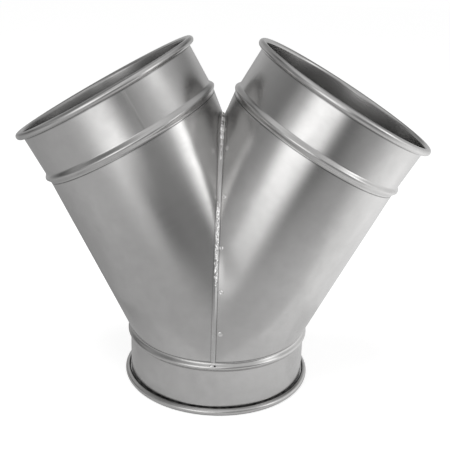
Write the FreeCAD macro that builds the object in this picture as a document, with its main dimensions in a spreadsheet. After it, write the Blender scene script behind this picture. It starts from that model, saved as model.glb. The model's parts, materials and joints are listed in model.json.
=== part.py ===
import FreeCAD, Part
import math
import os
import Sketcher

# Duct Y branch in galvanised sheet: a round base collar, two branch legs that meet in a
# lapped and hemmed seam under the crotch, and a collar on the end of each leg. Every collar
# has a rolled lip for a clamp band, and a swaged bead that locks it over the neck of a leg.
# The part stands on its base lip, centred on the origin: +Z is up and the legs lean along X.

LEFT = -1
RIGHT = 1

DRIVING_SIZES = (
    ("duct_diameter", "200", "outside diameter of the wall of a collar"),
    ("sheet_thickness", "0.9", "galvanised sheet"),
    ("lip_diameter", "7.5", "outside diameter of the rolled lip's own section"),
    ("lip_gap", "0.85", "gap left between the lip's edge and the wall of the collar"),
    ("collar_length", "56", "end of the lip to the middle of the lock bead"),
    ("collar_tail", "1.5", "plain rim of a collar past its lock bead"),
    ("bead_width", "9", "lock bead, along the duct"),
    ("bead_height", "3", "lock bead, out from the wall"),
    ("joint_clearance", "0.1", "between two sheets that lie on each other"),
    ("neck_hook", "2", "edge of a leg's neck past the middle of the lock bead"),
    ("shoulder_gap", "0.3", "rim of a collar to the bend where the leg leaves its neck"),
    ("branch_angle", "30", "lean of a branch collar from the vertical"),
    ("crotch_gap", "22.6", "between the beads of the two branches, where they come closest"),
    ("branch_rise", "283.5", "middle of a branch bead, above the floor"),
    ("seam_lap", "12", "flange of the left leg that lies under the right leg"),
    ("hem_width", "3.5", "folded edge of the right leg along the seam"),
)

doc = FreeCAD.newDocument("duct_y_branch")
sheet = doc.addObject("Spreadsheet::Sheet", "Sizes")
for row, (alias, value, meaning) in enumerate(DRIVING_SIZES, start=1):
    sheet.set(f"A{row}", value)
    sheet.setAlias(f"A{row}", alias)
    sheet.set(f"B{row}", meaning)
doc.recompute()

# Expressions that several pieces share, in the sheet's own words.
WALL = "Sizes.sheet_thickness"
COLLAR_OUTSIDE = "(Sizes.duct_diameter / 2)"
COLLAR_INSIDE = f"({COLLAR_OUTSIDE} - {WALL})"
LIP_RADIUS = "(Sizes.lip_diameter / 2)"
HALF_BEAD = "(Sizes.bead_width / 2)"
BEAD_ARC = f"(({HALF_BEAD}^2 + Sizes.bead_height^2) / (2 * Sizes.bead_height))"
BEAD_CENTRE = f"({COLLAR_OUTSIDE} + Sizes.bead_height - {BEAD_ARC})"
NECK_OUTSIDE = f"({COLLAR_INSIDE} - Sizes.joint_clearance)"
NECK_INSIDE = f"({NECK_OUTSIDE} - {WALL})"
LAP_OUTSIDE = f"({NECK_INSIDE} - Sizes.joint_clearance)"
LAP_INSIDE = f"({LAP_OUTSIDE} - {WALL})"
HEM_OUTSIDE = f"({NECK_OUTSIDE} + {WALL})"
NECK_BEAD_OUTSIDE = f"({BEAD_ARC} - {WALL} - Sizes.joint_clearance)"
NECK_BEAD_INSIDE = f"({NECK_BEAD_OUTSIDE} - {WALL})"
BRANCH_REACH = (
    f"(({COLLAR_OUTSIDE} + Sizes.bead_height) * cos(Sizes.branch_angle) + Sizes.crotch_gap / 2)"
)
SHOULDER = f"({HALF_BEAD} + Sizes.collar_tail + Sizes.shoulder_gap)"
NECK_OVERRUN = f"({HALF_BEAD} + {WALL})"


def bind(item, expressions):
    """Tie properties of a document object to the sheet."""
    for path, expression in expressions.items():
        item.setExpression(path, expression)


def origin_plane(body, role):
    """The body's own origin plane with this role."""
    return next(plane for plane in body.Origin.OriginFeatures if plane.Role == role)


def tie(sketch, kind, name, expression, *ends):
    """Add a dimension to a sketch, name it and tie it to the sheet."""
    value = sketch.evalExpression(expression)
    index = sketch.addConstraint(Sketcher.Constraint(kind, *ends, value))
    sketch.renameConstraint(index, name)
    sketch.setExpression(f"Constraints.{name}", expression)


def collar_profile(sketch):
    """Half section of a collar: x out from the duct's axis, y from the lip into the part."""
    outside = sheet.duct_diameter / 2
    inside = outside - sheet.sheet_thickness
    roll = sheet.lip_diameter / 2
    bead = sheet.collar_length
    half_bead = sheet.bead_width / 2
    bead_arc = (half_bead**2 + sheet.bead_height**2) / (2 * sheet.bead_height)
    bead_centre = outside + sheet.bead_height - bead_arc
    inner_arc = bead_arc - sheet.sheet_thickness
    rim = bead + half_bead + sheet.collar_tail
    lip_turn = 2 * math.pi + math.acos((sheet.lip_gap + sheet.sheet_thickness) / roll - 1)
    inner_turn = math.acos((inside - bead_centre) / inner_arc)
    outer_turn = math.acos((outside - bead_centre) / bead_arc)
    inner_half = inner_arc * math.sin(inner_turn)
    roll_centre = (inside + roll, roll)

    def line(start, end):
        return Part.LineSegment(FreeCAD.Vector(*start, 0), FreeCAD.Vector(*end, 0))

    def arc(centre, radius, first, last):
        circle = Part.Circle(FreeCAD.Vector(*centre, 0), FreeCAD.Vector(0, 0, 1), radius)
        return Part.ArcOfCircle(circle, first, last)

    def on_roll(radius):
        return (
            roll_centre[0] + radius * math.cos(lip_turn),
            roll_centre[1] + radius * math.sin(lip_turn),
        )

    inner_rim = sketch.addGeometry(line((inside, rim), (inside, bead + inner_half)))
    inner_bead = sketch.addGeometry(arc((bead_centre, bead), inner_arc, -inner_turn, inner_turn))
    inner_wall = sketch.addGeometry(line((inside, bead - inner_half), (inside, roll)))
    lip_outside = sketch.addGeometry(arc(roll_centre, roll, math.pi, lip_turn))
    lip_edge = sketch.addGeometry(line(on_roll(roll), on_roll(roll - sheet.sheet_thickness)))
    lip_inside = sketch.addGeometry(arc(roll_centre, roll - sheet.sheet_thickness, math.pi, lip_turn))
    outer_wall = sketch.addGeometry(line((outside, roll), (outside, bead - half_bead)))
    outer_bead = sketch.addGeometry(arc((bead_centre, bead), bead_arc, -outer_turn, outer_turn))
    outer_rim = sketch.addGeometry(line((outside, bead + half_bead), (outside, rim)))
    rim_edge = sketch.addGeometry(line((outside, rim), (inside, rim)))

    start, end, centre = 1, 2, 3
    joints = (
        (inner_rim, end, inner_bead, end),
        (inner_bead, start, inner_wall, start),
        (inner_wall, end, lip_outside, start),
        (lip_outside, end, lip_edge, start),
        (lip_edge, end, lip_inside, end),
        (lip_inside, start, outer_wall, start),
        (outer_wall, end, outer_bead, start),
        (outer_bead, end, outer_rim, start),
        (outer_rim, end, rim_edge, start),
        (rim_edge, end, inner_rim, start),
        (inner_bead, centre, outer_bead, centre),
        (lip_inside, centre, lip_outside, centre),
    )
    for joint in joints:
        sketch.addConstraint(Sketcher.Constraint("Coincident", *joint))
    for upright in (inner_rim, inner_wall, outer_wall, outer_rim):
        sketch.addConstraint(Sketcher.Constraint("Vertical", upright))
    sketch.addConstraint(Sketcher.Constraint("Horizontal", rim_edge))
    sketch.addConstraint(Sketcher.Constraint("PointOnObject", lip_outside, centre, lip_edge))

    origin = (-1, 1)
    tie(sketch, "DistanceX", "rim_inside", COLLAR_INSIDE, *origin, inner_rim, start)
    tie(sketch, "DistanceY", "rim_height", f"Sizes.collar_length + {HALF_BEAD} + Sizes.collar_tail",
        *origin, inner_rim, start)
    tie(sketch, "DistanceX", "rim_outside", COLLAR_OUTSIDE, *origin, outer_rim, end)
    tie(sketch, "DistanceX", "bead_centre", BEAD_CENTRE, *origin, outer_bead, centre)
    tie(sketch, "DistanceY", "bead_height", "Sizes.collar_length", *origin, outer_bead, centre)
    tie(sketch, "Radius", "bead_outside", BEAD_ARC, outer_bead)
    tie(sketch, "Radius", "bead_inside", f"{BEAD_ARC} - {WALL}", inner_bead)
    tie(sketch, "DistanceX", "wall_inside", COLLAR_INSIDE, *origin, lip_outside, start)
    tie(sketch, "DistanceY", "inside_roll", LIP_RADIUS, *origin, lip_outside, start)
    tie(sketch, "DistanceX", "wall_outside", COLLAR_OUTSIDE, *origin, lip_inside, start)
    tie(sketch, "DistanceY", "outside_roll", LIP_RADIUS, *origin, lip_inside, start)
    tie(sketch, "DistanceX", "roll_centre", f"{COLLAR_INSIDE} + {LIP_RADIUS}", *origin, lip_outside, centre)
    tie(sketch, "DistanceY", "roll_height", LIP_RADIUS, *origin, lip_outside, centre)
    tie(sketch, "DistanceX", "lip_reach", f"{COLLAR_OUTSIDE} + Sizes.lip_gap", *origin, lip_outside, end)


def make_collar(name):
    """A collar in its own frame: the lip's end at the origin, the axis along +Z."""
    body = doc.addObject("PartDesign::Body", name)
    body.Label = name
    profile = body.newObject("Sketcher::SketchObject", f"{name}_profile")
    profile.AttachmentSupport = [(origin_plane(body, "XZ_Plane"), "")]
    profile.MapMode = "FlatFace"
    collar_profile(profile)
    doc.recompute()
    turn = body.newObject("PartDesign::Revolution", f"{name}_turn")
    turn.Profile = profile
    turn.ReferenceAxis = (profile, ["V_Axis"])
    turn.Angle = 360
    return body


def branch_point(side, along):
    """Expressions for a point on a branch collar's axis, this far out from its bead."""
    reach = f"{BRANCH_REACH} + {along} * sin(Sizes.branch_angle)"
    rise = f"Sizes.branch_rise + {along} * cos(Sizes.branch_angle)"
    return {"Placement.Base.x": f"{side} * ({reach})", "Placement.Base.z": rise}


def lean(item, side):
    """Tilt an object about Y to the lean of one branch."""
    item.Placement = FreeCAD.Placement(
        FreeCAD.Vector(), FreeCAD.Rotation(FreeCAD.Vector(0, side, 0), sheet.branch_angle)
    )
    bind(item, {"Placement.Rotation.Angle": "Sizes.branch_angle"})


def base_section(name, radius, above_bead):
    """A level circle on the base collar's axis."""
    circle = doc.addObject("Part::Circle", name)
    bind(circle, {"Radius": radius, "Placement.Base.z": f"Sizes.collar_length + {above_bead}"})
    return circle


def branch_section(name, radius, side, along):
    """A circle square to a branch collar's axis."""
    circle = doc.addObject("Part::Circle", name)
    lean(circle, side)
    bind(circle, {"Radius": radius, **branch_point(side, along)})
    return circle


def ruled_loft(name, sections):
    """A solid with straight rulings from each section to the next."""
    loft = doc.addObject("Part::Loft", name)
    loft.Sections = sections
    loft.Solid = True
    loft.Ruled = True
    return loft


def leg_flank(name, radius, side):
    """The flaring part of a leg alone, from shoulder to shoulder."""
    sections = [
        base_section(f"{name}_base", radius, SHOULDER),
        branch_section(f"{name}_branch", radius, side, f"-{SHOULDER}"),
    ]
    return ruled_loft(name, sections)


def leg_form(name, radius, side, neck_end):
    """A leg with a straight neck at each end."""
    sections = [
        base_section(f"{name}_base_end", radius, f"-{neck_end}"),
        base_section(f"{name}_base", radius, SHOULDER),
        branch_section(f"{name}_branch", radius, side, f"-{SHOULDER}"),
        branch_section(f"{name}_branch_end", radius, side, neck_end),
    ]
    return ruled_loft(name, sections)


def neck_beads(name, radius, side):
    """The two rings by which a leg's necks follow the lock beads of its collars."""
    base_ring = doc.addObject("Part::Torus", f"{name}_base_ring")
    bind(base_ring, {"Placement.Base.z": "Sizes.collar_length"})
    branch_ring = doc.addObject("Part::Torus", f"{name}_branch_ring")
    lean(branch_ring, side)
    bind(branch_ring, branch_point(side, "0"))
    for ring in (base_ring, branch_ring):
        bind(ring, {"Radius1": BEAD_CENTRE, "Radius2": radius})
    return [base_ring, branch_ring]


def slab(name, start, width):
    """Everything between two planes square to X."""
    box = doc.addObject("Part::Box", name)
    span = "2 * (Sizes.branch_rise + Sizes.duct_diameter)"
    bind(box, {
        "Length": width,
        "Width": span,
        "Height": span,
        "Placement.Base.x": start,
        "Placement.Base.y": f"-{span} / 2",
        "Placement.Base.z": f"-{span} / 2",
    })
    return box


def fuse(name, shapes):
    """Join solids."""
    joined = doc.addObject("Part::MultiFuse", name)
    joined.Shapes = shapes
    return joined


def common(name, shapes):
    """Keep what solids share."""
    shared = doc.addObject("Part::MultiCommon", name)
    shared.Shapes = shapes
    return shared


def cut(name, base, tool):
    """Take one solid out of another."""
    left_over = doc.addObject("Part::Cut", name)
    left_over.Base = base
    left_over.Tool = tool
    return left_over


def neck_trims(name, side):
    """Discs that end a leg's necks inside the lock beads of its collars."""
    base_trim = doc.addObject("Part::Cylinder", f"{name}_base_trim")
    bind(base_trim, {"Placement.Base.z": "Sizes.collar_length - Sizes.neck_hook - Sizes.bead_width"})
    branch_trim = doc.addObject("Part::Cylinder", f"{name}_branch_trim")
    lean(branch_trim, side)
    bind(branch_trim, branch_point(side, "Sizes.neck_hook"))
    for trim in (base_trim, branch_trim):
        bind(trim, {"Radius": f"{COLLAR_OUTSIDE} + Sizes.bead_height", "Height": "Sizes.bead_width"})
    return fuse(f"{name}_trims", [base_trim, branch_trim])


def leg_envelope(name, side):
    """Outer form of a leg: flank, necks and the rings that hook into its collars' beads."""
    rings = neck_beads(f"{name}_outer", NECK_BEAD_OUTSIDE, side)
    form = leg_form(f"{name}_outer", NECK_OUTSIDE, side, HALF_BEAD)
    return cut(f"{name}_envelope", fuse(f"{name}_full", [form, *rings]), neck_trims(name, side))


def leg_passage(name, side):
    """Air passage of a leg, run past both ends."""
    rings = neck_beads(f"{name}_inner", NECK_BEAD_INSIDE, side)
    form = leg_form(f"{name}_inner", NECK_INSIDE, side, NECK_OVERRUN)
    return fuse(f"{name}_passage", [form, *rings])


def make_right_leg(half_span):
    """Right leg: its seam edge is folded back on itself as a hem."""
    half = slab("right_half", "0", half_span)
    hem = slab("hem_band", "0", "Sizes.hem_width")
    body = common("right_half_leg", [leg_envelope("right", RIGHT), half])
    folded_edge = common("right_hem", [leg_flank("hem", HEM_OUTSIDE, RIGHT), hem])
    hemmed = fuse("right_hemmed", [body, folded_edge])
    return cut("right_leg", hemmed, leg_passage("right", RIGHT))


def make_left_leg(half_span):
    """Left leg: its seam edge steps in and runs on as a flange under the right leg."""
    half = slab("left_half", f"-{half_span}", half_span)
    behind_step = slab("left_behind_step", f"-{half_span} - {WALL}", half_span)
    lap = slab("lap_band", "0", "Sizes.seam_lap")
    body = common("left_half_leg", [leg_envelope("left", LEFT), half])
    flange = common("left_flange", [leg_flank("lap_outer", LAP_OUTSIDE, RIGHT), lap])
    flanged = fuse("left_flanged", [body, flange])
    hollow = common("left_hollow", [leg_passage("left", LEFT), behind_step])
    under_flange = leg_form("lap_inner", LAP_INSIDE, RIGHT, NECK_OVERRUN)
    return cut("left_leg", cut("left_hollowed", flanged, hollow), under_flange)


def place_branch_collar(collar, side):
    """Stand a collar on its leg, lip outwards, with its bead over the neck's ring."""
    upside_down = 180
    turn = f"{upside_down} + {side} * Sizes.branch_angle"
    collar.Placement = FreeCAD.Placement(
        FreeCAD.Vector(), FreeCAD.Rotation(FreeCAD.Vector(0, 1, 0), upside_down + side * sheet.branch_angle)
    )
    bind(collar, {"Placement.Rotation.Angle": turn, **branch_point(side, "Sizes.collar_length")})


base_collar = make_collar("base_collar")
left_collar = make_collar("left_collar")
right_collar = make_collar("right_collar")
place_branch_collar(left_collar, LEFT)
place_branch_collar(right_collar, RIGHT)

HALF_SPAN = "(Sizes.branch_rise + Sizes.duct_diameter)"
left_leg = make_left_leg(HALF_SPAN)
right_leg = make_right_leg(HALF_SPAN)
doc.recompute()

for item in doc.Objects:
    if "Invalid" in item.State or "Error" in item.State:
        raise RuntimeError(f"{item.Name} did not recompute: {item.State}")

os.makedirs("parts", exist_ok=True)
for piece in (base_collar, left_leg, right_leg, left_collar, right_collar):
    shape = piece.Shape
    if shape.isNull() or not shape.isValid() or len(shape.Solids) != 1:
        raise RuntimeError(f"{piece.Label} is not one valid solid")
    shape.exportStep(f"parts/{piece.Label}.step")
    print(piece.Label, round(shape.Volume, 1), shape.BoundBox)
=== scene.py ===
"""Looks of a galvanised duct Y branch: rolled collars, lapped legs, welds, finishes and studio."""

import json
import logging
import math
import random
from dataclasses import dataclass, field
from enum import Enum

import bmesh
import bpy
from mathutils import Matrix, Vector, noise


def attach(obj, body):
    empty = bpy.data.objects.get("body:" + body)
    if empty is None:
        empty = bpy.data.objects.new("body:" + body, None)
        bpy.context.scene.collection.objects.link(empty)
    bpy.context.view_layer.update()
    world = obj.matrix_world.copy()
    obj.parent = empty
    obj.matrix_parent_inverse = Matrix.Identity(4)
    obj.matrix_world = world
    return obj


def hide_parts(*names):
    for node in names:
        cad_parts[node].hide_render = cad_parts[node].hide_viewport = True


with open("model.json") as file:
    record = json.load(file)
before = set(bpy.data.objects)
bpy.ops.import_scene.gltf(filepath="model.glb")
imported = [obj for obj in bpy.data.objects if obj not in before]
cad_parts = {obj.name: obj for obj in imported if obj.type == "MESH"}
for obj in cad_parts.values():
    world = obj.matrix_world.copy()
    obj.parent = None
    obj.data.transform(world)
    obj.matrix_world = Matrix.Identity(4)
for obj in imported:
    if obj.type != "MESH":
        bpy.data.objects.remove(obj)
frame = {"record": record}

LOG = logging.getLogger("duct_y_branch")
MM = 0.001
BODY = "root"
IMAGE_SIZE = 450
SHARP_EDGE = math.radians(32)
ACROSS = Vector((1, 0, 0))
DEPTH = Vector((0, 1, 0))
UP = Vector((0, 0, 1))

Colour = tuple[float, float, float, float]
Outline = list[tuple[float, float]]
Span = tuple[float, float]
Triple = tuple[float, float, float]
ANYWHERE: Span = (0, 1)
HAIR = 0.001 * MM


class Slot(Enum):
    """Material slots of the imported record."""

    COLLAR = "galvanised_collar"
    LEG = "galvanised_leg"


class Side(Enum):
    """The leg that leans to the left, and the one that leans to the right."""

    LEFT = -1
    RIGHT = 1


class Face(Enum):
    """The front of the fitting, towards the camera, and its back."""

    FRONT = -1
    BACK = 1


class Facing(Enum):
    """Which way the axis of a mouth's own frame points."""

    OUT_OF_MOUTH = 1
    INTO_PART = -1


@dataclass(frozen=True)
class DuctSizes:
    """Sizes of the fitting in metres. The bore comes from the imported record."""

    bore: float
    wall: float = 0.9 * MM
    lip_radius: float = 3.73 * MM
    lip_gap: float = 0.85 * MM
    collar_length: float = 56 * MM
    collar_tail: float = 1.5 * MM
    half_bead: float = 4.5 * MM
    bead_height: float = 3 * MM
    bead_spread: float = 5.7 * MM
    sheet_gap: float = 0.1 * MM
    neck_hook: float = 2 * MM
    shoulder_gap: float = 0.3 * MM
    lap: float = 12 * MM
    hem_height: float = 0.8 * MM
    seam_groove: float = 0.7 * MM

    @property
    def outside(self) -> float:
        """Outside radius of a collar's wall."""
        return self.bore + self.wall

    @property
    def neck(self) -> float:
        """Outside radius of a leg's neck, which slides into the collar."""
        return self.bore - self.sheet_gap

    @property
    def shoulder(self) -> float:
        """Distance in from the middle of the bead to the bend where a leg leaves its neck."""
        return self.half_bead + self.collar_tail + self.shoulder_gap

    @property
    def rim(self) -> float:
        """Distance from the end of a collar's lip to its plain rim."""
        return self.collar_length + self.half_bead + self.collar_tail

    def swell(self, away: float) -> float:
        """Height of a lock bead's soft curve at a distance from its middle."""
        share = min(abs(away) / self.bead_spread, 1.0)
        return self.bead_height * math.cos(0.5 * math.pi * share) ** 2

    def bead_places(self, start: float, count: int) -> list[float]:
        """Evenly spaced distances from the middle of a bead, from a start to its far foot."""
        return [start + (self.bead_spread - start) * index / (count - 1) for index in range(count)]


def mount(name: str) -> dict:
    """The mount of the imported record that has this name."""
    return next(row for row in frame["record"]["mounts"] if row["name"] == name)


@dataclass(frozen=True)
class Mouth:
    """An end of the fitting: the middle of its lip, and the way it faces."""

    centre: Vector
    outward: Vector

    @classmethod
    def from_record(cls, name: str) -> "Mouth":
        """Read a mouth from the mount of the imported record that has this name."""
        return cls(Vector(mount(name)["pos_m"]), Vector(mount(name)["axis"]).normalized())

    def frame(self, inward: float, facing: Facing) -> Matrix:
        """Axes square to the duct, with Y as in the part.

        Args:
            inward: distance in from the end of the lip.
            facing: whether Z points out of the mouth or into the part.

        Returns:
            The matrix from those axes to the part's frame.
        """
        along = self.outward * facing.value
        rotation = Matrix((DEPTH.cross(along), DEPTH, along)).transposed().to_4x4()
        return Matrix.Translation(self.centre - self.outward * inward) @ rotation


def arc(centre: tuple[float, float], radius: float, first: float, last: float, count: int) -> Outline:
    """Points spread evenly over an arc.

    Args:
        centre: middle of the arc.
        radius: its radius.
        first: angle of the first point.
        last: angle of the last point.
        count: how many points.

    Returns:
        The points, both ends included.
    """
    step = (last - first) / (count - 1)
    angles = [first + step * index for index in range(count)]
    return [(centre[0] + radius * math.cos(a), centre[1] + radius * math.sin(a)) for a in angles]


def ease(value: float) -> float:
    """Smooth step from 0 to 1."""
    clipped = min(max(value, 0.0), 1.0)
    return clipped * clipped * (3 - 2 * clipped)


def verts_of(geometry: list) -> list[bmesh.types.BMVert]:
    """The vertices among an operator's results."""
    return [item for item in geometry if isinstance(item, bmesh.types.BMVert)]


def everything(bm: bmesh.types.BMesh) -> list:
    """All the geometry of a mesh, as an operator takes it."""
    return bm.verts[:] + bm.edges[:] + bm.faces[:]


def cut_square(bm: bmesh.types.BMesh, across: float, keep: Side) -> None:
    """Cut a mesh with a plane square to X and keep one side of it.

    Args:
        bm: mesh to cut.
        across: place of the plane along X.
        keep: the side that stays.
    """
    bmesh.ops.bisect_plane(
        bm, geom=everything(bm), dist=HAIR, plane_co=ACROSS * across, plane_no=ACROSS,
        clear_inner=keep is Side.RIGHT, clear_outer=keep is Side.LEFT,
    )


def seam_edges(bm: bmesh.types.BMesh, across: float) -> list[bmesh.types.BMEdge]:
    """Open edges that lie in a plane square to X.

    Args:
        bm: mesh to search.
        across: place of the plane along X.

    Returns:
        The edges.
    """
    near = 0.01 * MM
    return [
        edge for edge in bm.edges
        if edge.is_boundary and all(abs(vert.co.x - across) < near for vert in edge.verts)
    ]


def turn_outwards(bm: bmesh.types.BMesh, side: Side) -> None:
    """Make the faces of an open sheet point away from the inside of its leg.

    Args:
        bm: the sheet.
        side: the leg that it belongs to.
    """
    bmesh.ops.recalc_face_normals(bm, faces=bm.faces[:])
    outermost = max(bm.faces, key=lambda face: face.calc_center_median().x * side.value)
    if outermost.normal.x * side.value < 0:
        bmesh.ops.reverse_faces(bm, faces=bm.faces[:])


def make_piece(
    name: str, bm: bmesh.types.BMesh, material: bpy.types.Material, node: str | None = None
) -> bpy.types.Object:
    """Turn a mesh into a piece of the fitting.

    Args:
        name: name of the piece.
        bm: its mesh, in the part's frame.
        material: its finish.
        node: the solid that it stands for, if it stands for one.

    Returns:
        The new object, riding on the part.
    """
    for face in bm.faces:
        face.smooth = True
    for edge in bm.edges:
        edge.smooth = edge.calc_face_angle(0.0) < SHARP_EDGE
    mesh = bpy.data.meshes.new(name)
    bm.to_mesh(mesh)
    bm.free()
    mesh.materials.append(material)
    piece = bpy.data.objects.new(name, mesh)
    bpy.context.scene.collection.objects.link(piece)
    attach(piece, BODY)
    if node:
        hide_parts(node)
    LOG.info("%s: %d faces", name, len(mesh.polygons))
    return piece


def make_stage(name: str, bm: bmesh.types.BMesh, material: bpy.types.Material) -> bpy.types.Object:
    """Turn a mesh into something of the studio that isn't part of the fitting.

    Args:
        name: name of the object.
        bm: its mesh.
        material: its material.

    Returns:
        The new object.
    """
    mesh = bpy.data.meshes.new(name)
    bm.to_mesh(mesh)
    bm.free()
    mesh.materials.append(material)
    stage = bpy.data.objects.new(name, mesh)
    bpy.context.scene.collection.objects.link(stage)
    return stage


class NodeBench:
    """Adds the shader nodes of one material and links them."""

    def __init__(self, name: str) -> None:
        """Start a material with an empty node tree.

        Args:
            name: name of the material.
        """
        self.material = bpy.data.materials.new(name)
        self.material.use_nodes = True
        self.nodes = self.material.node_tree.nodes
        self.links = self.material.node_tree.links
        self.nodes.clear()

    def add(self, kind: str, inputs: dict | None = None, **settings: object) -> bpy.types.Node:
        """Add a node.

        Args:
            kind: type of the node, without the word ShaderNode.
            inputs: values or sockets for its inputs, by name or number.
            settings: the node's own properties.

        Returns:
            The new node.
        """
        node = self.nodes.new(f"ShaderNode{kind}")
        for key, value in settings.items():
            setattr(node, key, value)
        for key, value in (inputs or {}).items():
            if isinstance(value, bpy.types.NodeSocket):
                self.links.new(value, node.inputs[key])
            else:
                node.inputs[key].default_value = value
        return node

    def calc(self, operation: str, *values: object) -> bpy.types.NodeSocket:
        """Result of a Math node."""
        return self.add("Math", dict(enumerate(values)), operation=operation).outputs[0]

    def noise(self, place: bpy.types.NodeSocket, scale: float, detail: float) -> bpy.types.NodeSocket:
        """Cloudy value between 0 and 1, with its scale in waves to the metre."""
        return self.add("TexNoise", {"Vector": place, "Scale": scale, "Detail": detail}).outputs[0]

    def ramp(
        self, value: bpy.types.NodeSocket, start: float, end: float, low: float = 0, high: float = 1
    ) -> bpy.types.NodeSocket:
        """Smooth ramp of a value.

        Args:
            value: socket to read.
            start: value at which the ramp starts.
            end: value at which it ends.
            low: result at the start.
            high: result at the end.

        Returns:
            The result's socket.
        """
        inputs = {"Value": value, "From Min": start, "From Max": end, "To Min": low, "To Max": high}
        return self.add("MapRange", inputs, interpolation_type="SMOOTHSTEP").outputs[0]

    def band(self, value: bpy.types.NodeSocket, middle: float, reach: float) -> bpy.types.NodeSocket:
        """1 where a value is near its middle, falling to 0 at its reach."""
        away = self.calc("ABSOLUTE", self.calc("SUBTRACT", value, middle))
        return self.ramp(away, 0.5 * reach, reach, 1, 0)

    def mix(self, share: object, first: object, second: object) -> bpy.types.NodeSocket:
        """Mix of two colours."""
        return self.add("Mix", {0: share, 6: first, 7: second}, data_type="RGBA").outputs[2]

    def bumps(self, layers: list[tuple[bpy.types.NodeSocket, float]]) -> bpy.types.NodeSocket:
        """Normal with several layers of relief.

        Args:
            layers: for each layer, its pattern and its height in metres.

        Returns:
            The normal's socket.
        """
        normal = None
        for height, depth in layers:
            inputs = {"Height": height, "Distance": depth, "Strength": 1.0}
            if normal:
                inputs["Normal"] = normal
            normal = self.add("Bump", inputs).outputs["Normal"]
        return normal

    def finish(self, shader: bpy.types.NodeSocket) -> bpy.types.Material:
        """Put a shader on the surface."""
        self.add("OutputMaterial", {"Surface": shader})
        return self.material


class Axis(Enum):
    """Axes along which grooves are placed."""

    ACROSS = "across the part, from the seam"
    HEIGHT = "above the floor"
    INWARD = "into the part, from the end of the sheet's own lip"


@dataclass(frozen=True)
class ShadeBand:
    """A band of a sheet that is darkened: painted shade in its grooves and at its steps."""

    axis: Axis
    middle: float
    reach: float
    strength: float


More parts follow.
